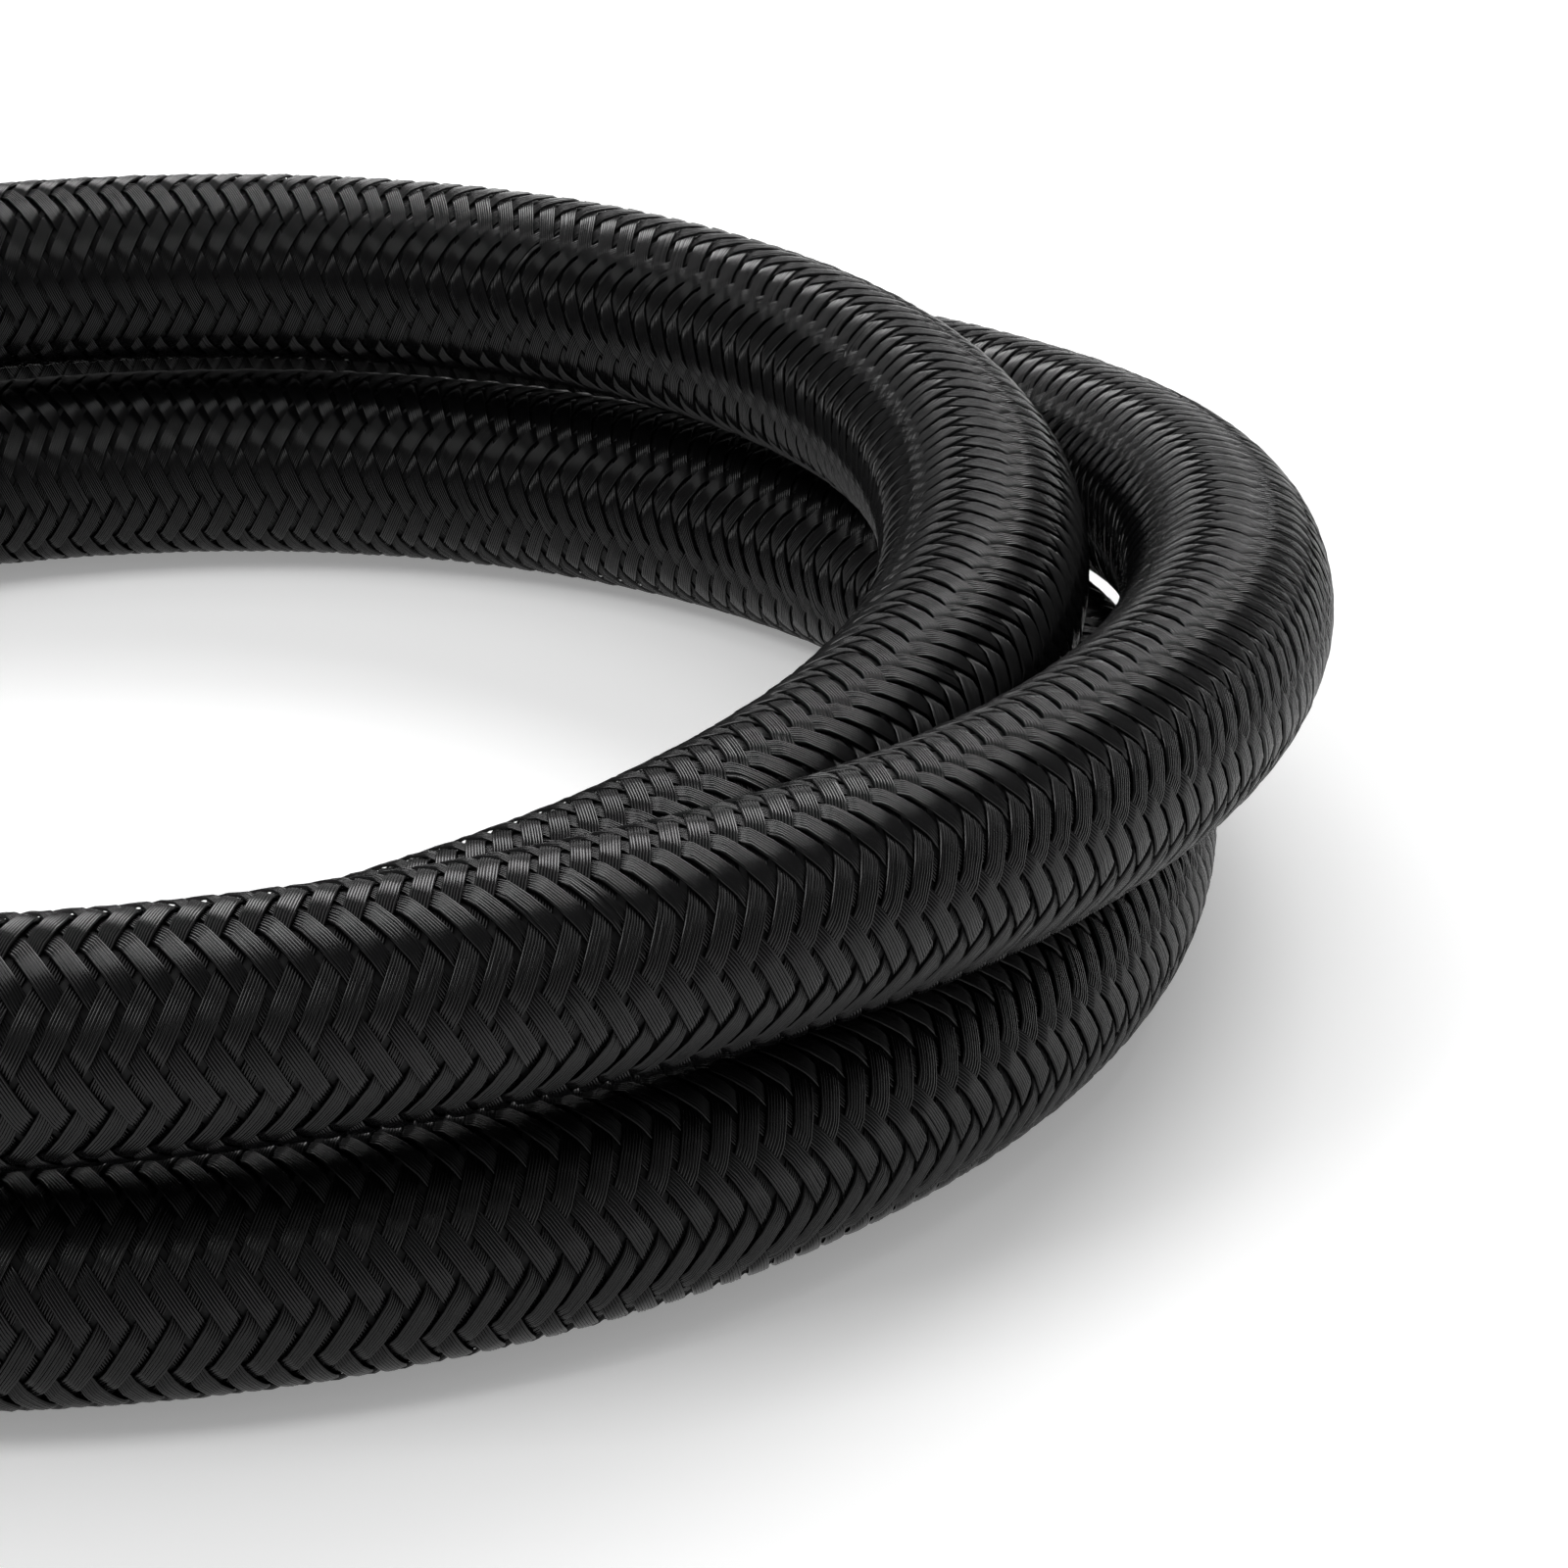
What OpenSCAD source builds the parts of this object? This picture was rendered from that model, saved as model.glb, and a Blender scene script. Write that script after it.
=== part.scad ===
// Braided hose assembly, coiled for storage: a rubber hose with a wire braid
// and a woven nylon jacket, and a reusable 37 degree swivel fitting on each end.
// Millimetres. +Z is up, the coil lies on z = 0, and the origin is the middle
// of the floor that the whole assembly takes. Both fittings point to -X.

/* [Hose] */
// Outside diameter of the hose, over its nylon jacket
hose_od = 17.5; // [17:0.1:17.6]
// Outside diameter of the wire braid
wire_od = 15.4; // [15.2:0.1:15.6]
// Outside diameter of the rubber tube
tube_od = 13.8; // [13.6:0.1:14]
// Bore of the rubber tube, over the corners of its cross-section
tube_bore = 12.2; // [12.1:0.1:12.6]

/* [Coil] */
// Degrees of turn between two rings of the hose's surface
ring_step = 15; // [5:5:15]
// Sides of the hose's cross-section
hose_sides = 6; // [6:6:12]

/* [Fittings] */
// Across the flats of the socket's hexagon
socket_af = 25.4; // [25.2:0.1:26]
// Across the flats of the nipple's and the nut's hexagons
nut_af = 22.2; // [22:0.1:22.4]
// Bore of the swivel nut's thread, at its crests
thread_bore = 17.5; // [17.3:0.1:17.7]
// Bore that the fluid runs through
flow_bore = 8.7; // [8:0.1:9]
// Running clearance between the nut and the nipple, on the radius
running_gap = 0.08; // [0.05:0.01:0.1]

/* [Tie] */
// Width of the tie's strap
strap_w = 7.6; // [5:0.2:9]
// Thickness of the strap
strap_t = 0.9; // [0.8:0.1:1]

/* [Hidden] */
$fn = 96;

// ---- the coil's route -------------------------------------------------------

// Middle of the coil, seen from above
coil_centre = [23, -9];
// The hose is cut flat underneath by a tenth of its diameter, so the axis of
// the bottom layer lies this high
floor_axis = 0.4 * hose_od;
// The upper layer keeps the height that it has on a round hose: the rise to it
// is stretched by as much as the bottom layer is sunk
upper_rise = 18.5;
stretch = 1 + 0.1 * hose_od / upper_rise;
// One station every 60 degrees round the coil: radius, and rise above the
// bottom layer's axis. The hose spirals in along the floor, climbs over the
// bottom layer in its third half turn, spirals out, and comes down again.
first_angle = -120;
station_step = 60;
stations = [
    [91, 0], [87, 0], [83, 0], [81.5, 0], [76.5, 0], [72, 3],
    [68.5, 0], [67.5, 10.5], [72.5, 17], [82, 18.5], [80, 18.5], [82, 18.5],
    [91, 18], [88.5, 19], [92.5, 16], [102, 6], [110.5, 4.5]
];
// Where the hose runs parallel to X and leaves the coil
leave_a = -92;
leave_b = 814;
// Height of the fittings' axis: the socket lies on a flat
fitting_axis = socket_af / 2;
// Along X, from the coil's middle: where the hose starts to lift towards its
// fitting, where it is level with it, and the mouth of the socket
lift_a = [-36, -74];
lift_b = [-6, -16];
mouth_a = -92;
mouth_b = -32;
// How far the hose goes into a socket
grip = 18;

function lerp(a, b, t) = a + (b - a) * t;
function ease(t) = let (s = min(max(t, 0), 1)) s * s * (3 - 2 * s);
function last(list) = list[len(list) - 1];

// A station, or the straight continuation past the first or the last one
function station(i) =
    i < 0 ? 2 * stations[0] - stations[1]
    : i < len(stations) ? stations[i]
    : 2 * last(stations) - stations[len(stations) - 2];

// Catmull-Rom curve through four stations
function through(a, b, c, d, t) =
    0.5 * (2 * b + (c - a) * t + (2 * a - 5 * b + 4 * c - d) * t * t
        + (3 * b - a - 3 * c + d) * t * t * t);

// Radius and rise at an angle
function reach(angle) =
    let (u = (angle - first_angle) / station_step, i = floor(u))
    through(station(i - 1), station(i), station(i + 1), station(i + 2), u - i);

function coil_point(angle) =
    let (r = reach(angle))
    [coil_centre.x + r[0] * cos(angle), coil_centre.y + r[0] * sin(angle),
     floor_axis + stretch * max(r[1], 0)];

function turns(step) = [for (a = [leave_a : step : leave_b]) coil_point(a)];

// The straight run from the coil to a fitting, with a ring every 10 mm or so
// while it lifts
function run(start, lift, mouth) =
    let (
        steps = max(1, round((lift[0] - lift[1]) / 10)),
        xs = [for (k = [0 : steps]) lerp(lift[0], lift[1], k / steps), mouth, mouth - grip]
    )
    [for (x = xs) [coil_centre.x + x, start.y,
        lerp(start.z, fitting_axis, ease((lift[0] - x) / (lift[0] - lift[1])))]];

function reversed(list) = [for (i = [len(list) - 1 : -1 : 0]) list[i]];

start_a = coil_point(leave_a);
start_b = coil_point(leave_b);

function route(step) = concat(
    reversed(run(start_a, lift_a, mouth_a)), turns(step), run(start_b, lift_b, mouth_b)
);

// ---- measures, printed ------------------------------------------------------

fine = route(5);
// Points nearer than this along the hose are its own neighbours
neighbours = 24;

function path_length(p) = let (d = [for (i = [1 : len(p) - 1]) norm(p[i] - p[i - 1])])
    d * [for (x = d) 1];

least_gap = min([for (i = [0 : len(fine) - 1 - neighbours])
    min([for (j = [i + neighbours : len(fine) - 1]) norm(fine[i] - fine[j])])]) - hose_od;

echo(least_gap_between_turns = least_gap);
echo(hose_length = path_length(fine));
echo(overall_length = path_length(fine) + 2 * (nut_end - grip));
echo(mouth_a = place_a);
echo(mouth_b = place_b);

// ---- the hose ---------------------------------------------------------------

function unit(v) = v / norm(v);

// Direction of the route at ring i, and exactly square at both ends
function heading(p, i) =
    let (n = len(p) - 1)
    unit(p[min(i + 1, n)] - p[max(i - 1, 0)]);

// One ring of the tube's surface. Its corners lie level with the axis, so a
// flat side faces the floor, and nothing of it goes below the floor.
function ring(p, i, r) =
    let (t = heading(p, i), side = unit(cross([0, 0, 1], t)), up = cross(t, side))
    [for (k = [0 : hose_sides - 1])
        let (a = 360 * k / hose_sides, q = p[i] + r * (cos(a) * side + sin(a) * up))
        [q.x, q.y, max(q.z, 0)]];

// Triangles of a sleeve from ring to ring, whose points start at base
function sleeve(rings, base, inwards) = [
    for (i = [0 : rings - 2], k = [0 : hose_sides - 1])
        let (
            j = (k + 1) % hose_sides,
            a = base + i * hose_sides + k, b = base + i * hose_sides + j,
            c = a + hose_sides, d = b + hose_sides
        )
        each inwards ? [[a, c, b], [b, c, d]] : [[a, b, c], [b, d, c]]
];

// Triangles of the flat ring that closes one end, between the two sleeves
function rim(outer, inner, back) = [
    for (k = [0 : hose_sides - 1])
        let (
            j = (k + 1) % hose_sides,
            a = outer + k, b = outer + j, c = inner + k, d = inner + j
        )
        each back ? [[a, c, b], [b, c, d]] : [[a, b, c], [b, d, c]]
];

// One layer of the hose, a single unbroken tube with its bore
module layer(outside, inside) {
    p = route(ring_step);
    n = len(p);
    count = n * hose_sides;
    points = concat(
        [for (i = [0 : n - 1]) each ring(p, i, outside / 2)],
        [for (i = [0 : n - 1]) each ring(p, i, inside / 2)]
    );
    faces = concat(
        sleeve(n, 0, false),
        sleeve(n, count, true),
        rim(0, count, true),
        rim(count - hose_sides, 2 * count - hose_sides, false)
    );
    polyhedron(points, faces);
}

// Clearance that keeps each layer just off the next
layer_gap = 0.06;

module outer_braid() color("#1b1b1c") layer(hose_od, wire_od + layer_gap);
module wire_braid() color("#9a9ea3") layer(wire_od, tube_od + layer_gap);
module inner_tube() color("#26262a") layer(tube_od, tube_bore);

// ---- the fittings, along +X from the mouth of the socket ----------------------

socket_len = 27;
hex_from = 16;
grip_r = 8.9;
tooth_count = 6;
tooth_pitch = 2.4;
tooth_depth = 0.5;
thread_r = 8;
tail_r = 5.2;
barb_count = 3;
barb_pitch = 4;
nipple_hex_len = 7;
nose_r = 8.1;
nose_len = 11;
seat_r = 7.4;
seat_angle = 37;
wire_r = 0.55;
wire_ring_r = 8.15;
wire_at = 38.6;
nut_from = 34.8;
nut_len = 20;
nut_collar = 5;
collar_r = 10.5;
feed_hole_r = 0.75;
nut_shoulder = 42;
relief_r = 9.3;

nipple_hex_end = socket_len + nipple_hex_len;
nose_end = nipple_hex_end + nose_len;
nut_end = nut_from + nut_len;

// A solid of revolution about X. Its outline is a list of [along X, radius].
module turned(outline) rotate([0, 90, 0]) rotate_extrude()
    polygon([for (p = outline) [p[1], p[0]]]);

module bored(from, length, r) rotate([0, 90, 0]) translate([0, 0, from]) cylinder(h = length, r = r);

// A hexagonal bar along X, a flat down, with chamfered ends and turned corners
module hex_bar(from, to, af, chamfer) {
    corner = af / sqrt(3);
    intersection() {
        translate([from, 0, 0]) rotate([0, 90, 0]) rotate([0, 0, 30])
            linear_extrude(to - from) circle(r = corner, $fn = 6);
        turned([
            [from, 0], [from, corner - 0.4 - 1.4 * chamfer], [from + chamfer, corner - 0.4],
            [to - chamfer, corner - 0.4], [to, corner - 0.4 - 1.4 * chamfer], [to, 0]
        ]);
    }
}

module socket_body() {
    difference() {
        union() {
            turned([
                [0, 0], [0, 10.1], [0.7, 10.8], [2.6, 10.8], [4.4, 12.2],
                [hex_from - 1.6, 12.2], [hex_from - 0.8, 11.6], [hex_from + 1, 11.6],
                [hex_from + 1, 0]
            ]);
            hex_bar(hex_from, socket_len, socket_af, 1);
        }
        // the hose's bore, with the ring grooves whose edges grip the braid
        turned(concat(
            [[-1, 0], [-1, grip_r + 0.8], [0, grip_r + 0.8], [0.8, grip_r]],
            [for (k = [0 : tooth_count - 1]) let (s = 2.4 + k * tooth_pitch)
                each [[s, grip_r], [s + 0.4, grip_r + tooth_depth], [s + tooth_pitch - 0.8, grip_r]]],
            [[grip, grip_r], [grip, 0]]
        ));
        // the thread that draws the nipple in
        bored(grip - 1, socket_len, thread_r + 0.05);
    }
}

module nipple_body() {
    seat_depth = (seat_r - flow_bore / 2) / tan(seat_angle);
    difference() {
        union() {
            turned(concat(
                [[2, 0], [2, tail_r - 0.7], [4, tail_r - 0.2]],
                [for (k = [0 : barb_count - 1]) let (s = 4 + k * barb_pitch)
                    each [[s + barb_pitch - 0.6, tail_r], [s + barb_pitch - 0.3, tail_r - 0.3]]],
                [
                    [grip + 0.1, tail_r - 0.3], [grip + 0.1, thread_r - 0.6],
                    [grip + 0.8, thread_r], [socket_len + 0.5, thread_r],
                    [socket_len + 0.5, 0]
                ]
            ));
            hex_bar(socket_len, nipple_hex_end, nut_af, 0.9);
            // the nose that the nut turns on, with half of the retaining wire's groove
            difference() {
                bored(nipple_hex_end - 0.5, nose_len + 0.5, nose_r);
                turned([
                    [wire_at - wire_r - 0.05, 7.5], [wire_at - wire_r - 0.05, 9],
                    [wire_at + wire_r + 0.05, 9], [wire_at + wire_r + 0.05, 7.5]
                ]);
            }
        }
        bored(0, nose_end + 2, flow_bore / 2);
        // the 37 degree seat
        turned([
            [nose_end - seat_depth, 0], [nose_end - seat_depth, flow_bore / 2],
            [nose_end, seat_r], [nose_end + 1, seat_r], [nose_end + 1, 0]
        ]);
    }
}

module retaining_wire() rotate([0, 90, 0]) translate([0, 0, wire_at]) rotate_extrude()
    translate([wire_ring_r, 0]) circle(r = wire_r, $fn = 24);

module nut_body() {
    groove = wire_r + 0.3;
    groove_r = wire_ring_r + groove;
    difference() {
        union() {
            hex_bar(nut_from + nut_collar, nut_end, nut_af, 1.1);
            // the turned collar behind the hexagon
            turned([
                [nut_from, 0], [nut_from, collar_r - 0.6], [nut_from + 0.6, collar_r],
                [nut_from + nut_collar + 1, collar_r], [nut_from + nut_collar + 1, 0]
            ]);
        }
        bored(nut_from - 1, nut_len, nose_r + running_gap);
        // the hole that the retaining wire is fed through
        translate([wire_at, 0, nose_r]) cylinder(h = nut_af, r = feed_hole_r);
        // half of the retaining wire's groove
        turned([
            [wire_at - groove, 0], [wire_at - groove, groove_r], [wire_at + groove, groove_r],
            [wire_at + groove, 0]
        ]);
        // the thread with its relief and its lead-in
        bored(nut_shoulder, nose_end - nut_shoulder, relief_r);
        bored(nose_end - 0.01, nut_len, thread_bore / 2);
        turned([
            [nut_end - 0.9, 0], [nut_end - 0.9, thread_bore / 2], [nut_end, thread_bore / 2 + 0.9],
            [nut_end + 1, thread_bore / 2 + 0.9], [nut_end + 1, 0]
        ]);
    }
}

// Puts a fitting's piece on an end of the hose, pointing to -X
place_a = [coil_centre.x + mouth_a, start_a.y, fitting_axis];
place_b = [coil_centre.x + mouth_b, start_b.y, fitting_axis];
module at_a() translate(place_a) rotate([0, 0, 180]) children();
module at_b() translate(place_b) rotate([0, 0, 180]) children();

module socket_a() color("#202124") at_a() socket_body();
module nipple_a() color("#2b2c30") at_a() nipple_body();
module retaining_wire_a() color("#b9bcc0") at_a() retaining_wire();
module swivel_nut_a() color("#202124") at_a() nut_body();
module socket_b() color("#202124") at_b() socket_body();
module nipple_b() color("#2b2c30") at_b() nipple_body();
module retaining_wire_b() color("#b9bcc0") at_b() retaining_wire();
module swivel_nut_b() color("#202124") at_b() nut_body();

// ---- the tie that keeps the coil together --------------------------------------

// The tie goes round the two turns on the coil's left side. It fits them as they
// lie when the hose is round, and has room underneath for them as they lie here.
tie_turns = [for (a = [180, 540]) let (r = reach(a)) [coil_centre.x - r[0], hose_od / 2 + r[1]]];
tie_axis = (tie_turns[1] - tie_turns[0]) / norm(tie_turns[1] - tie_turns[0]);
tie_low = tie_turns[0] - 1.9 * tie_axis;
tie_high = tie_turns[1];
tie_r = hose_od / 2 + 0.45;
tie_lean = atan2(tie_axis.y, tie_axis.x);
tie_span = norm(tie_high - tie_low);
head = [8, 5.6, 10.4];

// Outline of a band of radius r round both turns, drawn along +X
module round_both(r) {
    circle(r = r);
    translate([tie_span, 0]) circle(r = r);
    translate([0, -r]) square([tie_span, 2 * r]);
}

module coil_tie() color("#161617")
    translate([tie_low.x, coil_centre.y, tie_low.y]) rotate([90, -tie_lean, 0]) {
        difference() {
            translate([0, 0, -strap_w / 2]) linear_extrude(strap_w) round_both(tie_r + strap_t);
            translate([0, 0, -strap_w]) linear_extrude(2 * strap_w) round_both(tie_r);
        }
        // the locking head, with the cut end of the strap through it
        difference() {
            translate([tie_span / 2 - head[0] / 2, tie_r + strap_t - 0.2, -head[2] / 2])
                linear_extrude(head[2]) polygon([
                    [0, 0], [head[0], 0], [head[0], head[1] - 1.5], [head[0] - 1.5, head[1]],
                    [1.5, head[1]], [0, head[1] - 1.5]
                ]);
            translate([tie_span / 2 - head[0], tie_r + strap_t + 1.4, -strap_w / 2 - 0.3])
                cube([2 * head[0], strap_t + 0.6, strap_w + 0.6]);
        }
        translate([tie_span / 2 - head[0] / 2 - 1.5, tie_r + strap_t + 1.6, -strap_w / 2])
            cube([head[0] + 3, strap_t, strap_w]);
        translate([tie_span / 2 - 1, tie_r + strap_t + 2.4, -strap_w / 2])
            cube([2, 1.2, strap_w]);
    }

outer_braid();
wire_braid();
inner_tube();
coil_tie();
socket_a();
nipple_a();
retaining_wire_a();
swivel_nut_a();
socket_b();
nipple_b();
retaining_wire_b();
swivel_nut_b();
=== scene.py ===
# %% [markdown]
# # A braided hydraulic hose, coiled and tied
# The real object is 1.5 m of hose: a rubber tube, a steel wire braid that carries
# the pressure, and a jacket of black nylon filaments woven round it. A metal
# fitting with a swivel nut closes each end. The solid parts come from the CAD
# model. This script dresses them: it weaves the jacket, threads the nuts, gives
# every surface its finish, and lights and frames the whole.

# %% Load the CAD model as a fixed frame
import math

import bmesh
import bpy
import numpy as np
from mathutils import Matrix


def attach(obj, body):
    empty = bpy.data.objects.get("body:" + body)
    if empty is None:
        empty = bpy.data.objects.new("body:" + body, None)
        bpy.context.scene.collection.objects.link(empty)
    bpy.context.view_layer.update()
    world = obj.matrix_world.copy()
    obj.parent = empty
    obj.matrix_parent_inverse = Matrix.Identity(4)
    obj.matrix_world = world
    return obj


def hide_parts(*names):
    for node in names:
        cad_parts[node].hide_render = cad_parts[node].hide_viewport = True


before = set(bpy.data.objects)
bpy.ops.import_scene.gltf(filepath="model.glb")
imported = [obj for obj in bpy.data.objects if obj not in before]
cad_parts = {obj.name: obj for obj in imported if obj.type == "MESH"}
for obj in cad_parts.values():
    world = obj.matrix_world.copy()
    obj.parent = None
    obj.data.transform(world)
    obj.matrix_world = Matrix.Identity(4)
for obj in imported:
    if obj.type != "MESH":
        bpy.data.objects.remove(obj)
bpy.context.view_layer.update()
MM = 0.001
print("CAD nodes:", sorted(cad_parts))

# %% [markdown]
# ## The route of the hose
# Everything on the hose follows one line, its axis. It could be drawn by hand as
# a Bezier curve, but the CAD model already states it in round numbers: a radius
# and a rise every 60 degrees round the coil. A smooth curve through those
# stations gives the same route here. Only the height differs by a little: the
# CAD tube is cut flat where it rests, and the real round hose stands on its
# full radius.

# %% Stations of the coil, and the straight runs to the fittings
HOSE_D = 17.5 * MM
COIL_CENTRE = (23 * MM, -9 * MM)
FIRST_ANGLE, STATION_STEP = -120, 60
STATIONS = [
    (91, 0), (87, 0), (83, 0), (81.5, 0), (76.5, 0), (72, 3),
    (68.5, 0), (67.5, 10.5), (72.5, 17), (82, 18.5), (80, 18.5), (82, 18.5),
    (91, 18), (88.5, 19), (92.5, 16), (102, 6), (110.5, 4.5),
]
LEAVE_A, LEAVE_B = -92, 814
FITTING_AXIS = 12.7 * MM
LIFT_A, LIFT_B = (-36 * MM, -74 * MM), (-6 * MM, -16 * MM)
MOUTH_A, MOUTH_B = -92 * MM, -32 * MM
GRIP = 18 * MM


def reach(angle):
    """Radius and rise at an angle in degrees, on a Catmull-Rom curve."""
    s = np.array(STATIONS, float) * MM
    s = np.vstack([2 * s[0] - s[1], s, 2 * s[-1] - s[-2]])
    u = (np.asarray(angle, float) - FIRST_ANGLE) / STATION_STEP
    i = np.floor(u).astype(int)
    t = (u - i)[:, None]
    a, b, c, d = s[i], s[i + 1], s[i + 2], s[np.minimum(i + 3, len(s) - 1)]
    cubic = (-a + 3 * b - 3 * c + d) * t**3
    return 0.5 * (2 * b + (c - a) * t + (2 * a - 5 * b + 4 * c - d) * t**2 + cubic)


def coil_points(angles):
    """Points of the hose's axis round the coil. The axis never lies lower than half its width."""
    r = reach(angles)
    a = np.radians(angles)
    x = COIL_CENTRE[0] + r[:, 0] * np.cos(a)
    y = COIL_CENTRE[1] + r[:, 0] * np.sin(a)
    return np.column_stack([x, y, HOSE_D / 2 + np.maximum(r[:, 1], 0)])


def run_points(start, lift, mouth, step=3 * MM):
    """The straight run to a fitting, which eases up or down to the fitting's axis."""
    x = np.append(np.arange(lift[0], mouth - GRIP, -step), mouth - GRIP)
    t = np.clip((lift[0] - x) / (lift[0] - lift[1]), 0, 1)
    ease = t * t * (3 - 2 * t)
    z = start[2] + (FITTING_AXIS - start[2]) * ease
    return np.column_stack([x + COIL_CENTRE[0], np.full_like(x, start[1]), z])


turn_angles = np.arange(LEAVE_A, LEAVE_B + 0.1, 2)
coil = coil_points(turn_angles)
run_a = run_points(coil[0], LIFT_A, MOUTH_A)
run_b = run_points(coil[-1], LIFT_B, MOUTH_B)
route = np.vstack([run_a[::-1], coil, run_b])
mouth_a_point = (COIL_CENTRE[0] + MOUTH_A, coil[0][1], FITTING_AXIS)
mouth_b_point = (COIL_CENTRE[0] + MOUTH_B, coil[-1][1], FITTING_AXIS)


def arc_length(points):
    """The distance along a line of points, from its first to each."""
    steps = np.linalg.norm(np.diff(points, axis=0), axis=1)
    return np.append(0, np.cumsum(steps))


# Resample the route every millimetre, and smooth away the small corners where
# the coil meets the runs.
distance = arc_length(route)
s_route = np.arange(0, distance[-1], 1 * MM)
axis = np.column_stack([np.interp(s_route, distance, route[:, k]) for k in range(3)])
KERNEL = np.hanning(13)[1:-1] / np.hanning(13).sum()
padded = np.pad(axis, ((5, 5), (0, 0)), mode="reflect", reflect_type="odd")
axis = np.column_stack([np.convolve(padded[:, k], KERNEL, "valid") for k in range(3)])
s_route = arc_length(axis)
HOSE_LENGTH = s_route[-1]
print(f"hose: {HOSE_LENGTH:.3f} m long, {HOSE_D * 1000:.1f} mm thick")

# %% [markdown]
# Every point of the hose's skin is given by three numbers: how far along the
# hose it is, at which angle round it, and at what distance from its axis. The
# angle is measured from the coil's horizontal side, so the skin never twists.


# %% Points on the hose
def unit(v):
    """The same directions with length 1."""
    return v / np.linalg.norm(v, axis=1, keepdims=True)


heading = unit(np.gradient(axis, axis=0))
side = unit(np.cross([0, 0, 1], heading))
up = np.cross(heading, side)


def on_hose(s, around, radius):
    """Points at s metres along the hose, an angle around it and a radius from its axis."""
    at = [np.interp(s, s_route, field[:, k]) for field in (axis, side, up) for k in range(3)]
    p, e, u = (np.stack(at[k : k + 3], -1) for k in (0, 3, 6))
    c, n = np.cos(around)[..., None], np.sin(around)[..., None]
    return p + radius[..., None] * (c * e + n * u)


print(f"route: {len(axis)} points, lowest {axis[:, 2].min() * 1000:.1f} mm above the floor")

# %% [markdown]
# ## The camera
# It stands low in front of the coil and looks slightly down, through a long
# lens.

# %% Place the camera
EYE = (56.4 * MM, -440.7 * MM, 193.5 * MM)
PITCH = 22.76
FIELD_OF_VIEW = 15.423
cam = bpy.data.cameras.new("camera")
cam.sensor_fit = "HORIZONTAL"
cam.angle = math.radians(FIELD_OF_VIEW)
cam.clip_start = 0.01
camera = bpy.data.objects.new("camera", cam)
camera.location = (EYE[0] + COIL_CENTRE[0], EYE[1] + COIL_CENTRE[1], EYE[2])
camera.rotation_euler = (math.radians(90 - PITCH), 0, 0)
bpy.context.collection.objects.link(camera)
bpy.context.scene.camera = camera
print("camera at", tuple(round(v, 3) for v in camera.location))

# %% [markdown]
# ## Meshes from grids of points
# Most pieces here are a grid of points wrapped round something. Adding faces one
# by one in Python would take minutes for a woven jacket, so the arrays go
# straight into the mesh.


# %% Make a mesh object from points and four-sided faces
def make_piece(name, points, quads, smooth=True):
    """A mesh object with these points and faces, put in the scene."""
    mesh = bpy.data.meshes.new(name)
    points = np.ascontiguousarray(points, np.float32).reshape(-1, 3)
    quads = np.ascontiguousarray(quads, np.int32).reshape(-1, 4)
    mesh.vertices.add(len(points))
    mesh.vertices.foreach_set("co", points.ravel())
    mesh.loops.add(quads.size)
    mesh.loops.foreach_set("vertex_index", quads.ravel())
    mesh.polygons.add(len(quads))
    mesh.polygons.foreach_set("loop_start", np.arange(0, quads.size, 4, dtype=np.int32))
    mesh.polygons.foreach_set("use_smooth", np.full(len(quads), smooth))
    mesh.update(calc_edges=True)
    piece = bpy.data.objects.new(name, mesh)
    bpy.context.collection.objects.link(piece)
    return piece


# %% [markdown]
# Smooth shading rounds every edge, which is right for the back of a filament and
# wrong for the valley between two. There the shading would turn slowly and pick
# up a lamp that no real valley can see. So the valleys are marked as creases.


# %% Crease the valleys
def crease(piece, in_valley):
    """Shade the edges between marked points as sharp, so that the valleys stay dark."""
    ends = np.empty(2 * len(piece.data.edges), np.int32)
    piece.data.edges.foreach_get("vertices", ends)
    sharp = in_valley[ends.reshape(-1, 2)].all(1)
    piece.data.attributes.new("sharp_edge", "BOOLEAN", "EDGE").data.foreach_set("value", sharp)


# %% [markdown]
# A grid of points becomes faces by joining every point with its neighbours. A
# pipe is two such grids, one outside and one inside, joined at both ends.


# %% Grids and pipes
def grid_quads(rows, columns, first=0, wrap=False):
    """Faces of a grid of rows x columns points. wrap joins the last column to the first."""
    r = np.arange(rows - 1)[:, None]
    c = np.arange(columns if wrap else columns - 1)[None, :]
    d = (c + 1) % columns
    a, b = r * columns + c, r * columns + d
    return first + np.stack([a, b, b + columns, a + columns], -1).reshape(-1, 4)


def tube(name, s, outer, inner, sides=48):
    """A pipe along the hose's axis, with closed rims."""
    around = np.linspace(0, 2 * math.pi, sides, endpoint=False)
    skin = on_hose(s[:, None], around[None, :], np.full((len(s), sides), outer))
    bore = on_hose(s[:, None], around[None, :], np.full((len(s), sides), inner))
    n = len(s) * sides
    out = grid_quads(len(s), sides, wrap=True)
    back = grid_quads(len(s), sides, n, wrap=True)[:, ::-1]
    c = np.arange(sides)
    d = (c + 1) % sides
    start = np.stack([c, n + c, n + d, d], -1)
    end = np.stack([c, d, n + d, n + c], -1) + n - sides
    return make_piece(name, np.vstack([skin.reshape(-1, 3), bore.reshape(-1, 3)]),
                      np.vstack([out, back, start, end]))


# %% [markdown]
# ## Painted shade under the jacket
# Under the woven bands lies a thin, dull, near-black tube of painted shade,
# which shows in the gaps between them.

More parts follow.
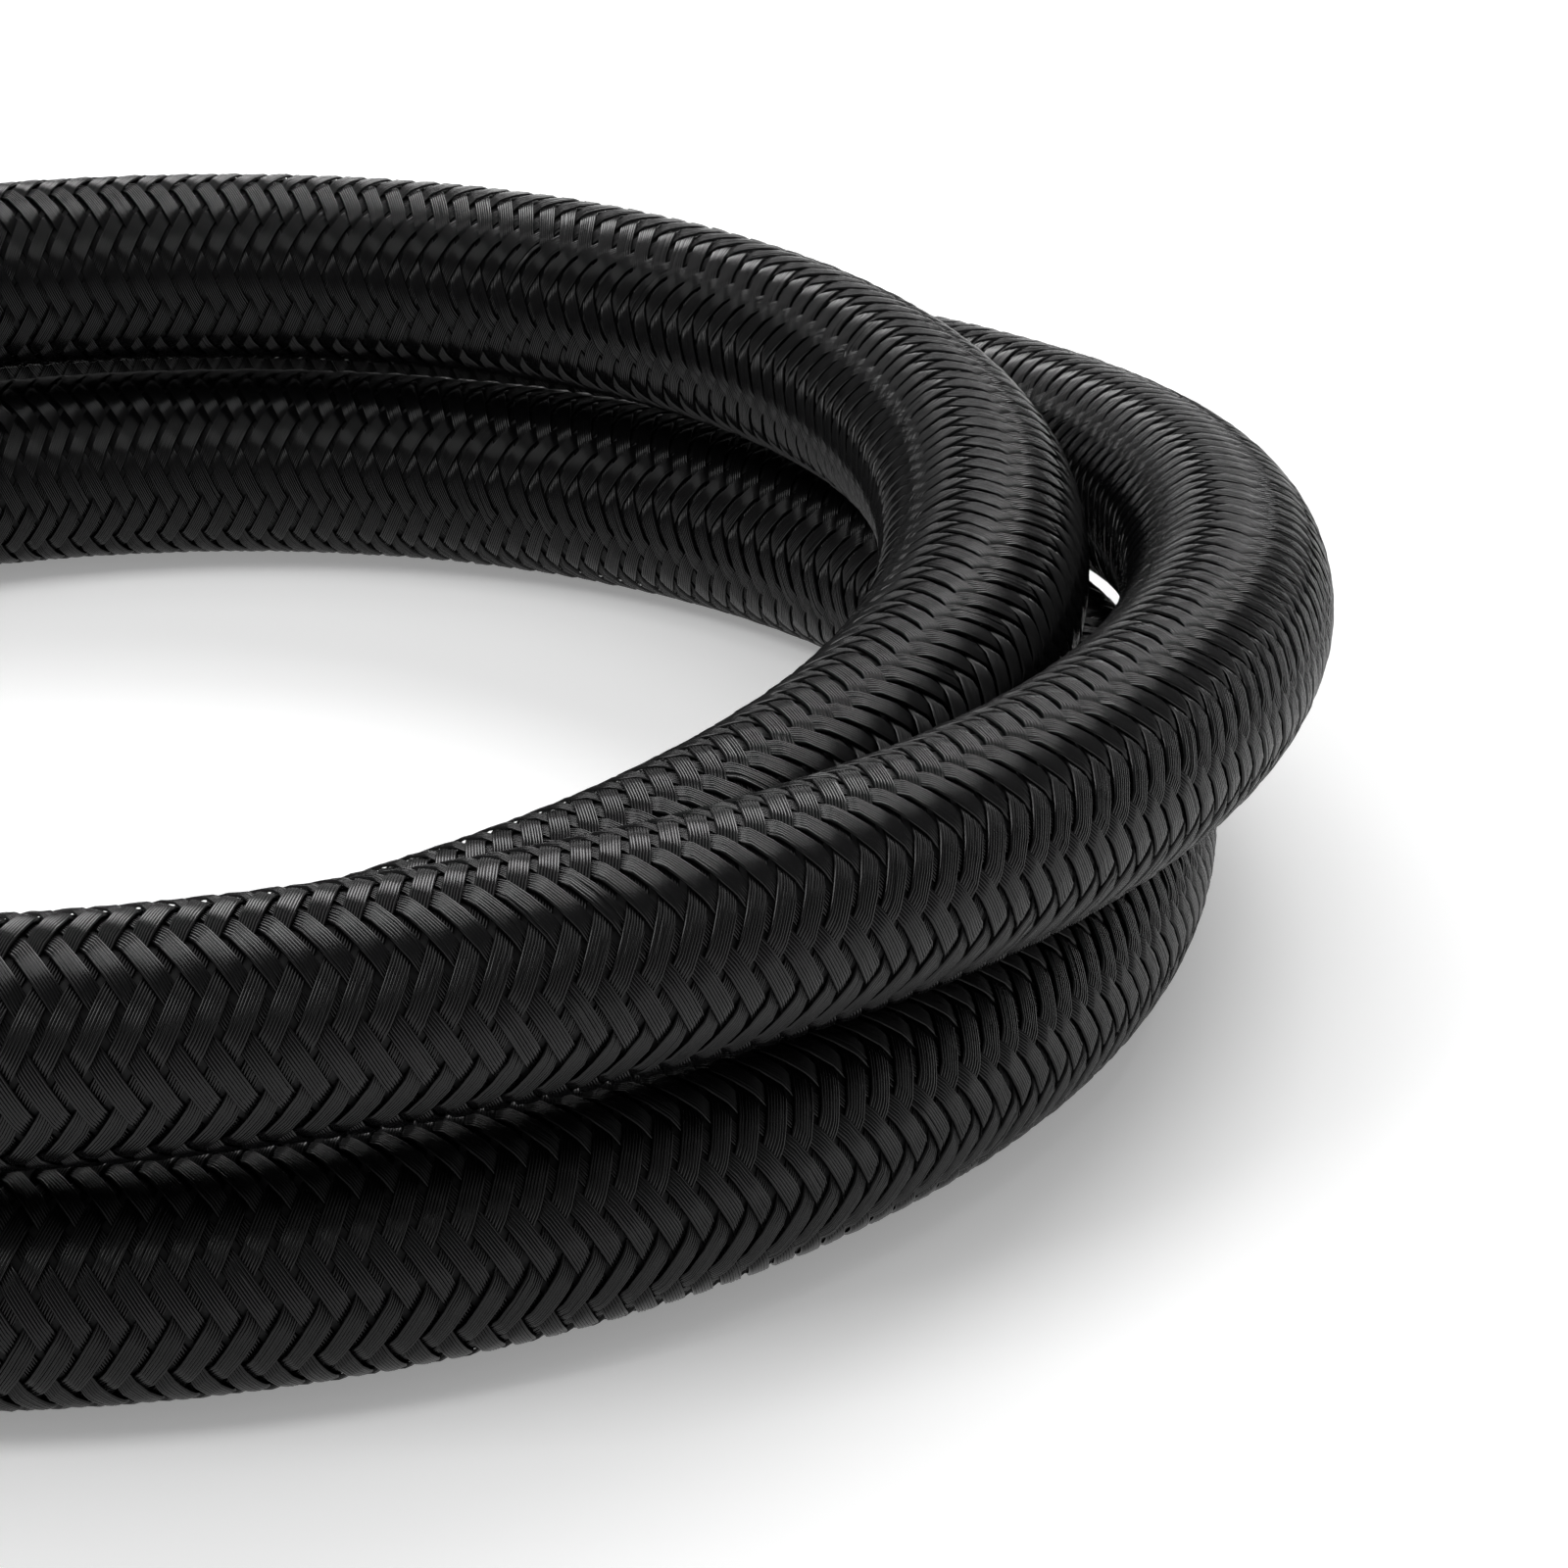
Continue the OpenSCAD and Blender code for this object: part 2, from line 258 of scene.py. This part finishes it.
BAND_LAYERS = 0.72 * MM
GAP_SHADE_R = HOSE_D / 2 - BAND_LAYERS
JACKET_INNER_R = 7.75 * MM
LENGTHWISE_STEP = 3 * MM
s_tube = np.linspace(0, HOSE_LENGTH, int(HOSE_LENGTH / LENGTHWISE_STEP))
gap_shade = tube("jacket_gap_shade", s_tube, GAP_SHADE_R, JACKET_INNER_R)
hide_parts("outer_braid")
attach(gap_shade, "hose")
print("ground:", len(gap_shade.data.polygons), "faces")

# %% [markdown]
# ## The layers inside
# The steel wire braid and the rubber tube are hidden by the jacket and the
# fittings, but they are there: a section through the hose would show them.

# %% Make the wire braid and the rubber tube
WIRE_R, TUBE_R, BORE_R = 7.7 * MM, 6.9 * MM, 5.55 * MM
LAYER_GAP = 0.03 * MM
wire_layer = tube("wire_braid_layer", s_tube, WIRE_R, TUBE_R + LAYER_GAP)
rubber_layer = tube("rubber_tube", s_tube, TUBE_R, BORE_R)
for piece, node, slot in ((wire_layer, "wire_braid", "steel_wire"),
                          (rubber_layer, "inner_tube", "tube_rubber")):
    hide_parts(node)
    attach(piece, "hose")
    print(piece.name, len(piece.data.polygons), "faces")

# %% [markdown]
# ## Weaving the jacket
# A braiding machine sends 12 bobbins one way round the hose and 12 the other.
# Each lays a flat band of 7 filaments side by side, and each band passes over two
# of the others and then under two. A bump map could hint at this, but the crowned
# floats, the dark slots where a band dives and the notched outline are real
# shapes, so the bands are modelled, with every filament in them.
#
# Give the bands of one direction the numbers i and those of the other j. Band i
# and band j cross where the angle is (i + j) / 24 of a turn and the distance is
# (j - i) / 24 of a lay. Any point of the surface then has two coordinates, I
# and J, and a band is the strip where I stays near its number. Whether it is on
# top depends only on I + J.

# %% The weave's numbers
BOBBINS = 24
LAY = 27.5 * MM
FILAMENTS = 7
FILAMENT_D = 0.21 * MM
# A band is this much of the distance from one band to the next. It is this much
# lower where it runs under than where it runs over, it is crowned by this much
# across its width, and it takes this much of a crossing to dive.
BAND_SHARE = 0.73
SINK = 0.45 * MM
CROWN = 0.04 * MM
DIVE = 0.7
# Between the highest filament and the hose's nominal surface, and at either end.
TOP_GAP = 0.03 * MM
END_GAP = 1.5 * MM

# The jacket is rolled a little round the hose, by these degrees at these places
# in millimetres along it.
ROLL = ((0, -22), (150, -22), (190, -16), (350, -1), (650, -6), (700, -6), (760, -2),
        (850, -2), (1100, -6), (1210, -6), (1300, -1), (1450, -1))

# A band runs over the crossings 0 and 1 of its cycle, and under 2 and 3. It is
# sampled at these places, most closely where it dives between two bands.
CYCLE = np.array((-0.5, -0.35, -0.15, 0.15, 0.5, 0.85, 1.15, 1.35, 1.5, 1.75, 2.5, 3.25))

# Each filament is the upper half of a circle. It is sampled at these places
# across it, and the last point of one is the first of the next.
ACROSS_FILAMENT = np.array((0, 0.22, 0.78))
VALLEY_SHARE = 0.9
print(f"braid angle {math.degrees(math.atan(math.pi * HOSE_D / LAY)):.0f} degrees, "
      f"{FILAMENTS * BOBBINS} filaments")

# %% [markdown]
# Two questions settle the shape of a band: how high it runs at a place in its
# cycle, and what it looks like when it is cut across. It is cut as a row of half
# circles on a flat underside.


# %% A band's height and its section
def level(x):
    """1 where a band runs over, 0 where it runs under, by its place in the cycle."""
    from_middle = np.abs(np.mod(x + 1.5, 4) - 2)
    t = np.clip((1 + DIVE / 2 - from_middle) / DIVE, 0, 1)
    return t * t * (3 - 2 * t)


def band_section():
    """A band in section: places from -1 to 1, heights from its top, and whose filament."""
    filament = np.repeat(np.arange(FILAMENTS), len(ACROSS_FILAMENT))
    places = np.tile(ACROSS_FILAMENT, FILAMENTS)
    below = 0.5 * FILAMENT_D * (1 - np.sqrt(1 - (2 * places - 1) ** 2))
    below = np.minimum(below, 0.5 * VALLEY_SHARE * FILAMENT_D)
    # The flat underside has a corner at either edge, and two points between them.
    v = np.append(-1 + 2 * (filament + places) / FILAMENTS, (1, 0.3, -0.3))
    below = np.append(below, (FILAMENT_D,) * 3)
    below[0] = FILAMENT_D
    filament = np.append(filament, (FILAMENTS - 1, 4, 2))
    return v, -below - CROWN * v * v, filament, np.append(places == 0, (True, False, False))


# %% [markdown]
# A band is then a grid: a row of points for each place along the hose, and a
# column for each point of its section. No real band is perfect. Each one sways a
# little and rises a little, its filaments crowd and part, and one in fifty sits
# deeper for a while. These faults are drawn at random, and are the same every run.

# %% Weave one band
SWAY, WANDER = 0.02, 0.02
RISE, PROUD = 0.012 * MM, 0.009 * MM
SUNK_SHARE, SUNK = 0.02, 0.05 * MM
roll_at, roll_by = np.array(ROLL, float).T


def band_mesh(number, direction, rng):
    """Points, faces and valley marks of one band, from end to end of the hose."""
    first_over = 0 if direction > 0 else 1
    cycles = int((BOBBINS * HOSE_LENGTH / LAY + 2 * number) / 4) + 3
    starts = 4 * (np.arange(cycles) - 1) + first_over + 2 * (number % 2)
    own_plus_other = (starts[:, None] + CYCLE).ravel()
    own_s = (own_plus_other - 2 * number) * LAY / BOBBINS
    keep = (own_s > END_GAP) & (own_s < HOSE_LENGTH - END_GAP)
    own_plus_other = own_plus_other[keep]
    cycle = np.repeat(np.arange(cycles), len(CYCLE))[keep]
    part = np.tile((CYCLE + 0.5) / 4, cycles)[keep][:, None]

    def drift(values):
        """A number drawn for every cycle, eased from one cycle to the next."""
        return values[cycle] * (1 - part) + values[cycle + 1] * part

    v, height, filament, in_valley = band_section()
    sway = drift(rng.normal(0, SWAY, (cycles + 1, 1)))
    rise = drift(rng.normal(0, RISE, (cycles + 1, 1)))
    wander = drift(rng.normal(0, WANDER, (cycles + 1, FILAMENTS)))[:, filament]
    proud = rng.normal(0, PROUD, (cycles + 1, FILAMENTS))
    proud[rng.random(proud.shape) < SUNK_SHARE] -= SUNK

    across = number + sway + 0.5 * BAND_SHARE * (v + wander)
    other = (own_plus_other - number)[:, None]
    over = level(own_plus_other - first_over)[:, None]
    radius = HOSE_D / 2 - TOP_GAP - SINK * (1 - over) + height + rise + drift(proud)[:, filament]
    s = np.clip((other - across) * LAY / BOBBINS, 0, HOSE_LENGTH)
    roll = np.radians(np.interp(s / MM, roll_at, roll_by))
    around = direction * (other + across) * 2 * math.pi / BOBBINS + roll
    points = on_hose(s, around, radius)

    rows, columns = radius.shape
    k = np.arange(columns // 2 - 1)
    cap = np.stack([k, k + 1, columns - 2 - k, columns - 1 - k], -1)
    last_row = (rows - 1) * columns
    quads = np.vstack([grid_quads(rows, columns, wrap=True), cap, last_row + cap[:, ::-1]])
    # Seen from outside, the faces of both directions run clockwise: they point into the band.
    return points, quads[:, ::-1] if direction > 0 else quads, np.tile(in_valley, rows)


# %% [markdown]
# The two directions share the 24 bobbins. Every second band of a direction starts
# its cycle two crossings later, which makes the pattern step sideways by one band
# and gives the herringbone look.

# %% Weave all 24
rng = np.random.default_rng(7)
bands, faces = [], 0
for direction, letter in ((1, "right"), (-1, "left")):
    for number in range(BOBBINS // 2):
        points, quads, in_valley = band_mesh(number, direction, rng)
        band = make_piece(f"band_{letter}_{number + 1:02d}", points, quads)
        crease(band, in_valley)
        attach(band, "hose")
        bands.append(band)
        faces += len(quads)
print(f"{len(bands)} bands woven, {faces} faces")

# %% [markdown]
# ## The fittings
# The metal parts are the CAD solids with two things added. Their edges are
# broken by a small chamfer, as a lathe leaves them, because a perfectly sharp
# edge never catches the light. And the nuts get a thread of 16 turns to the inch,
# cut into the plain bore that the CAD model has. It isn't quite the unified
# 3/4-16 thread of a real nut: its helix is left-handed, with flanks 73 degrees
# apart, and the real one is right-handed, with flanks 60 degrees apart. As in a
# workshop, the cut takes two tools: a reamer that makes the bore round, and a
# helical ridge.

# %% The reamer and the thread's ridge
THREAD_PITCH = 25.4 / 16 * MM
THREAD_START, THREAD_END = 45.2 * MM, 53.9 * MM
THREAD_MINOR, THREAD_MAJOR = 8.75 * MM, 9.47 * MM
# The ridge's half widths at its foot and its tip, as shares of the pitch.
RIDGE_FOOT, RIDGE_TIP = 0.46, 0.07
# How far the ridge reaches into the open bore, and how much the reamer takes off.
FOOT_DEPTH = 0.12 * MM
REAMED = 0.03 * MM
RUN_OUT_TURNS = 1.4


def thread_tool(name, mouth, segments=40):
    """A left-handed ridge to subtract from a nut. It deepens over the first third of a turn."""
    turns = (THREAD_END - THREAD_START) / THREAD_PITCH + RUN_OUT_TURNS
    t = np.linspace(0, turns, int(turns * segments))
    along = THREAD_START + THREAD_PITCH * t
    depth = THREAD_MAJOR - (THREAD_MAJOR - THREAD_MINOR) * np.clip(1 - t * 3, 0, 1)
    foot, tip = THREAD_PITCH * RIDGE_FOOT, THREAD_PITCH * RIDGE_TIP
    base = THREAD_MINOR - FOOT_DEPTH
    offsets = np.array([-foot, -tip, tip, foot])
    radii = np.stack([0 * t + base, depth, depth, 0 * t + base], -1)
    x = mouth[0] - (along[:, None] + offsets)
    y = mouth[1] + radii * np.cos(2 * math.pi * t)[:, None]
    z = mouth[2] + radii * np.sin(2 * math.pi * t)[:, None]
    n = len(t)
    quads = [grid_quads(n, 4, wrap=True), [[3, 2, 1, 0]],
             [[4 * n - 4, 4 * n - 3, 4 * n - 2, 4 * n - 1]]]
    return make_piece(name, np.stack([x, y, z], -1), np.vstack(quads))


def bore_tool(name, mouth, segments=144):
    """A round bar that reams the nut's bore, so that the thread starts from a true circle."""
    angle = np.linspace(0, 2 * math.pi, segments, endpoint=False)
    ring = np.stack([0 * angle, np.cos(angle), np.sin(angle)], -1) * (THREAD_MINOR + REAMED)
    reach_of_bar = (THREAD_START - 0.2 * MM, THREAD_END + 2 * MM)
    ends = [np.array(mouth) - (along, 0, 0) for along in reach_of_bar]
    k = np.arange(segments // 2 - 1)
    cap = np.stack([k, k + 1, segments - 2 - k, segments - 1 - k], -1)
    quads = np.vstack([grid_quads(2, segments, wrap=True)[:, ::-1], cap, segments + cap[:, ::-1]])
    return make_piece(name, np.stack([ring + ends[0], ring + ends[1]]), quads)


# %% [markdown]
# A CAD solid comes as triangles. Joining those that lie in one plane gives back
# its real faces, and then a bevel finds its real edges. The shading is weighted
# by area, so that a flat stays flat right up to its chamfer.

# %% Finish a copy of a CAD solid
CHAMFERED_ABOVE = math.radians(28)
SHADED_SHARP_ABOVE = math.radians(35)


def apply_modifiers(piece, name):
    """Make what the modifiers give the piece's own mesh."""
    graph = bpy.context.evaluated_depsgraph_get()
    result = bpy.data.meshes.new_from_object(piece.evaluated_get(graph))
    piece.modifiers.clear()
    piece.data = result
    result.name = name


def finished_copy(node, name, chamfer, tools=()):
    """A copy of a CAD solid with its flat faces joined, its edges broken, and cut by tools."""
    piece = bpy.data.objects.new(name, node.data.copy())
    piece.matrix_world = node.matrix_world
    bpy.context.collection.objects.link(piece)
    mesh = bmesh.new()
    mesh.from_mesh(piece.data)
    bmesh.ops.remove_doubles(mesh, verts=mesh.verts, dist=0.001 * MM)
    bmesh.ops.dissolve_limit(mesh, angle_limit=math.radians(0.5), verts=mesh.verts,
                             edges=mesh.edges, use_dissolve_boundaries=False)
    mesh.to_mesh(piece.data)
    mesh.free()
    piece.data.polygons.foreach_set("use_smooth", np.ones(len(piece.data.polygons), bool))
    bevel = piece.modifiers.new("chamfer", "BEVEL")
    bevel.width, bevel.segments = chamfer, 2
    bevel.limit_method, bevel.angle_limit = "ANGLE", CHAMFERED_ABOVE
    for tool in tools:
        cut = piece.modifiers.new(tool.name, "BOOLEAN")
        cut.object, cut.operation, cut.solver = tool, "DIFFERENCE", "EXACT"
    apply_modifiers(piece, name)
    # The thread's ridges are sharp, and the chamfers run softly into the flats.
    piece.data.set_sharp_from_angle(angle=SHADED_SHARP_ABOVE)
    piece.modifiers.new("flat_faces", "WEIGHTED_NORMAL").keep_sharp = True
    apply_modifiers(piece, name)
    for tool in tools:
        bpy.data.objects.remove(tool)
    return piece


# %% [markdown]
# Each end has a socket, a nipple and a swivel nut. Only the nut moves: it rides
# on its own body, and the other two stay with the hose.

# %% Make the metal pieces
metal_pieces = []
for end, mouth in (("a", mouth_a_point), ("b", mouth_b_point)):
    cutters = (bore_tool(f"bore_tool_{end}", mouth), thread_tool(f"thread_tool_{end}", mouth))
    for node, body, slot, chamfer, tools in (
        (f"socket_{end}", "hose", "anodised_socket", 0.3 * MM, ()),
        (f"nipple_{end}", "hose", "anodised_nipple", 0.2 * MM, ()),
        (f"swivel_nut_{end}", f"nut_{end}", "anodised_nut", 0.25 * MM, cutters),
    ):
        piece = finished_copy(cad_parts[node], f"{node}_metal", chamfer, tools)
        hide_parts(node)
        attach(piece, body)
        metal_pieces.append(piece)
        print(piece.name, len(piece.data.polygons), "faces")

# %% [markdown]
# ## Finishes
# Colours are written as on a screen and turned into the linear values that a
# shader needs. Every material is one Principled shader with a few plain values,
# and where a surface has a fine pattern, nodes make it as a bump of a real depth.


# %% A colour helper and a node helper
def colour(hex_code):
    """A linear colour from an sRGB hex code such as #1b1b1c."""
    channels = [int(hex_code[k : k + 2], 16) / 255 for k in (1, 3, 5)]
    return tuple(c / 12.92 if c <= 0.04045 else ((c + 0.055) / 1.055) ** 2.4 for c in channels) + (1,)


def add_node(material, kind, settings=None, inputs=None):
    """A shader node with these settings, and with values or links on its inputs."""
    node = material.node_tree.nodes.new(kind)
    for key, value in (settings or {}).items():
        setattr(node, key, value)
    for key, value in (inputs or {}).items():
        if isinstance(value, bpy.types.NodeSocket):
            material.node_tree.links.new(value, node.inputs[key])
        else:
            node.inputs[key].default_value = value
    return node


def new_finish(name, **sockets):
    """A material with these values on its shader. Underscores stand for spaces."""
    material = bpy.data.materials.new(name)
    material.use_nodes = True
    shader = material.node_tree.nodes["Principled BSDF"]
    for key, value in sockets.items():
        shader.inputs[key.replace("_", " ")].default_value = value
    return material


def relief(material, height, depth):
    """Bump a material by a height from 0 to 1 that stands for this depth in metres."""
    bump = add_node(material, "ShaderNodeBump", inputs={"Height": height, "Distance": depth})
    shader = material.node_tree.nodes["Principled BSDF"]
    material.node_tree.links.new(bump.outputs["Normal"], shader.inputs["Normal"])


# %% [markdown]
# The jacket's filaments are glossy nylon, and their colour is nearly black. What
# makes them look lively is their shape: every round filament mirrors the lamps as
# one thin line. The finish itself is plain.

# %% Nylon, steel and rubber
nylon = new_finish("black_nylon_monofilament", Base_Color=colour("#0a0a0b"), Roughness=0.22, IOR=1.53,
                   Specular_IOR_Level=0.27)
# The tube under the bands is painted shade: darker and duller than the nylon, so that the gaps between the
# bands look dark.
shade = new_finish("painted_gap_shade", Base_Color=colour("#08080a"), Roughness=0.7)
steel = new_finish("drawn_steel_wire", Base_Color=colour("#b4b6b8"), Metallic=1, Roughness=0.3)
rubber = new_finish("extruded_rubber", Base_Color=colour("#141414"), Roughness=0.6)


# %% [markdown]
# The fittings are turned on a lathe from aluminium and anodised black. The dyed
# oxide is satin, and the tool has left fine rings round the axis, which spread a
# highlight across them.

# %% Black anodised aluminium with turning rings
RING_WIDTH = 0.25 * MM
RING_DEPTH = 0.006 * MM


def turned_and_anodised(end, mouth):
    """The finish of one fitting. Its rings go round that fitting's own axis."""
    material = new_finish(f"black_anodised_aluminium_{end}", Base_Color=colour("#252528"),
                          Metallic=0.7, Roughness=0.3)
    place = add_node(material, "ShaderNodeTexCoord").outputs["Object"]
    from_axis = add_node(material, "ShaderNodeVectorMath", {"operation": "SUBTRACT"},
                         {0: place, 1: (0, mouth[1], mouth[2])}).outputs[0]
    across = add_node(material, "ShaderNodeVectorMath", {"operation": "MULTIPLY"},
                      {0: from_axis, 1: (0, 1, 1)}).outputs[0]
    radius = add_node(material, "ShaderNodeVectorMath", {"operation": "LENGTH"}, {0: across})
    along = add_node(material, "ShaderNodeSeparateXYZ", inputs={0: from_axis}).outputs["X"]
    # On a round face only the place along the axis changes, on an end face only the radius.
    tool_path = add_node(material, "ShaderNodeMath", {"operation": "ADD"},
                         {0: along, 1: radius.outputs["Value"]}).outputs[0]
    rings = add_node(material, "ShaderNodeTexNoise", {"noise_dimensions": "1D"},
                     {"W": tool_path, "Scale": 1 / RING_WIDTH, "Detail": 2})
    relief(material, rings.outputs[0], RING_DEPTH)
    return material


anodised = {"a": turned_and_anodised("a", mouth_a_point), "b": turned_and_anodised("b", mouth_b_point)}

# %% [markdown]
# The strap is moulded nylon. The mould's spark-eroded walls leave a fine grain.

# %% Moulded nylon with a fine grain
GRAIN_SIZE = 0.35 * MM
GRAIN_DEPTH = 0.015 * MM


def moulded_nylon():
    """The strap's finish."""
    material = new_finish("moulded_nylon", Base_Color=colour("#0d0d0e"), Roughness=0.42, IOR=1.53)
    place = add_node(material, "ShaderNodeTexCoord").outputs["Object"]
    grain = add_node(material, "ShaderNodeTexNoise", inputs={"Vector": place, "Scale": 1 / GRAIN_SIZE})
    relief(material, grain.outputs[0], GRAIN_DEPTH)
    return material


tie_nylon = moulded_nylon()

# %% [markdown]
# Each piece gets its one finish. The strap and the two retaining wires are the
# CAD pieces themselves.


# %% Dress every piece
def dress(obj, material):
    """Give an object this material and no other."""
    obj.data.materials.clear()
    obj.data.materials.append(material)


for band in bands:
    dress(band, nylon)
dress(gap_shade, shade)
dress(wire_layer, steel)
dress(rubber_layer, rubber)
for piece in metal_pieces:
    dress(piece, anodised["a" if "_a_" in piece.name else "b"])
dress(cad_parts["coil_tie"], tie_nylon)
for end in "ab":
    dress(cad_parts[f"retaining_wire_{end}"], steel)
print("materials:", sorted(m.name for m in bpy.data.materials if m.users))

# %% [markdown]
# ## The stage
# A black hose on a white ground is hard to light. It shows nothing of its own
# colour: all that the eye sees of it is what it mirrors. A bright room would
# turn it grey, so the room is dim, and a few soft lamps draw a light line along
# each filament. The white of the background isn't light then. It is a value that
# only the camera sees, and that shiny pieces mirror where a real white sweep
# would stand.


# %% What is seen, and what is mirrored
def seen_or_mirrored(owner, mirrored):
    """1 for what the camera sees, and a share of it for what shiny things mirror."""
    path = add_node(owner, "ShaderNodeLightPath")
    shiny = add_node(owner, "ShaderNodeMath", {"operation": "MAXIMUM"},
                     {0: path.outputs["Is Glossy Ray"], 1: path.outputs["Is Transmission Ray"]})
    shiny = add_node(owner, "ShaderNodeMath", {"operation": "MULTIPLY"}, {0: shiny.outputs[0], 1: mirrored})
    return add_node(owner, "ShaderNodeMath", {"operation": "MAXIMUM"},
                    {0: path.outputs["Is Camera Ray"], 1: shiny.outputs[0]}).outputs[0]


# %% [markdown]
# The camera sees a white world all round. Shiny things mirror that white at the
# horizon. It fades within 6 degrees above the floor, and over it is the dim room.

# %% The world
ROOM_STRENGTH = 0.22
HORIZON_TOP = 0.1
world = bpy.data.worlds.new("studio")
bpy.context.scene.world = world
world.use_nodes = True
backdrop = world.node_tree.nodes["Background"]
backdrop.inputs["Color"].default_value = (1, 1, 1, 1)
direction = add_node(world, "ShaderNodeTexCoord").outputs["Generated"]
height = add_node(world, "ShaderNodeSeparateXYZ", inputs={0: direction}).outputs["Z"]
horizon = add_node(world, "ShaderNodeMapRange", inputs={0: height, 1: 0.0, 2: HORIZON_TOP, 3: 1.0, 4: 0.0})
white = add_node(world, "ShaderNodeMapRange",
                 inputs={0: seen_or_mirrored(world, horizon.outputs[0]), 3: ROOM_STRENGTH, 4: 1.0})
world.node_tree.links.new(white.outputs[0], backdrop.inputs["Strength"])
print("world:", ROOM_STRENGTH, "for light,", 1.0, "for the camera")

# %% [markdown]
# The floor is matt and white, and takes the hose's shadow. Near the coil it is
# lifted a little towards white. Beyond the lamps' reach it is lifted wholly, so
# that it runs into the white world without an edge.

# %% The floor
FLOOR = 3.0
NEAR_LIFT, FAR_LIFT = 0.27, 1.0
LIFT_FROM, LIFT_TO = 0.4, 1.2
corners = np.array([(-FLOOR, -FLOOR, 0), (FLOOR, -FLOOR, 0), (FLOOR, FLOOR, 0), (-FLOOR, FLOOR, 0)], float)
floor = make_piece("floor", corners - (0, 0, 0.02 * MM), [(0, 1, 2, 3)], smooth=False)
floor_paint = new_finish("matt_white_floor", Base_Color=colour("#f2f2f2"), Roughness=0.8,
                         Emission_Color=colour("#ffffff"))
dress(floor, floor_paint)
place = add_node(floor_paint, "ShaderNodeNewGeometry").outputs["Position"]
from_coil = add_node(floor_paint, "ShaderNodeVectorMath", {"operation": "LENGTH"}, {0: place})
whiteness = add_node(floor_paint, "ShaderNodeMapRange",
                     inputs={0: from_coil.outputs["Value"], 1: LIFT_FROM, 2: LIFT_TO,
                             3: NEAR_LIFT, 4: FAR_LIFT})
lift = add_node(floor_paint, "ShaderNodeMath", {"operation": "MULTIPLY"},
                {0: seen_or_mirrored(floor_paint, 1.0), 1: whiteness.outputs[0]})
floor_shader = floor_paint.node_tree.nodes["Principled BSDF"]
floor_paint.node_tree.links.new(lift.outputs[0], floor_shader.inputs["Emission Strength"])
print("floor:", 2 * FLOOR, "m wide")

# %% [markdown]
# Four softboxes stand round the coil, aimed at its middle. The long one behind
# draws the line along every crest, the one behind on the right carries it round
# the bend, the one on the left lights the inside of the bend, and the one
# overhead fills the floor. A softbox's brightness is how bright its face looks,
# with white as 1, so it stays the same when the box is made larger.

# %% The lamps
AIM = np.array((COIL_CENTRE[0], COIL_CENTRE[1], 0.02))


def softbox(name, azimuth, elevation, distance, width, height, brightness):
    """An area lamp round the coil. Azimuth 0 is behind it, and 90 to its right."""
    a, e = math.radians(azimuth), math.radians(elevation)
    away = np.array((math.cos(e) * math.sin(a), math.cos(e) * math.cos(a), math.sin(e)))
    data = bpy.data.lights.new(name, "AREA")
    data.shape = "RECTANGLE"
    data.size, data.size_y = width, height
    data.energy = brightness * math.pi * width * height
    obj = bpy.data.objects.new(name, data)
    obj.location = AIM + distance * away
    obj.rotation_euler = (math.radians(90) - e, 0, math.pi - a)
    bpy.context.collection.objects.link(obj)


softbox("overhead", 0, 90, 1.2, 1.0, 1.0, 1.3)
softbox("behind", 10, 36, 1.3, 1.1, 0.45, 5.0)
softbox("behind_right", 28, 45, 1.3, 0.55, 0.4, 6.5)
softbox("left", 245, 50, 1.3, 0.55, 0.4, 7.0)
bpy.context.scene.view_settings.view_transform = "Standard"
print("lamps:", len(bpy.data.lights))
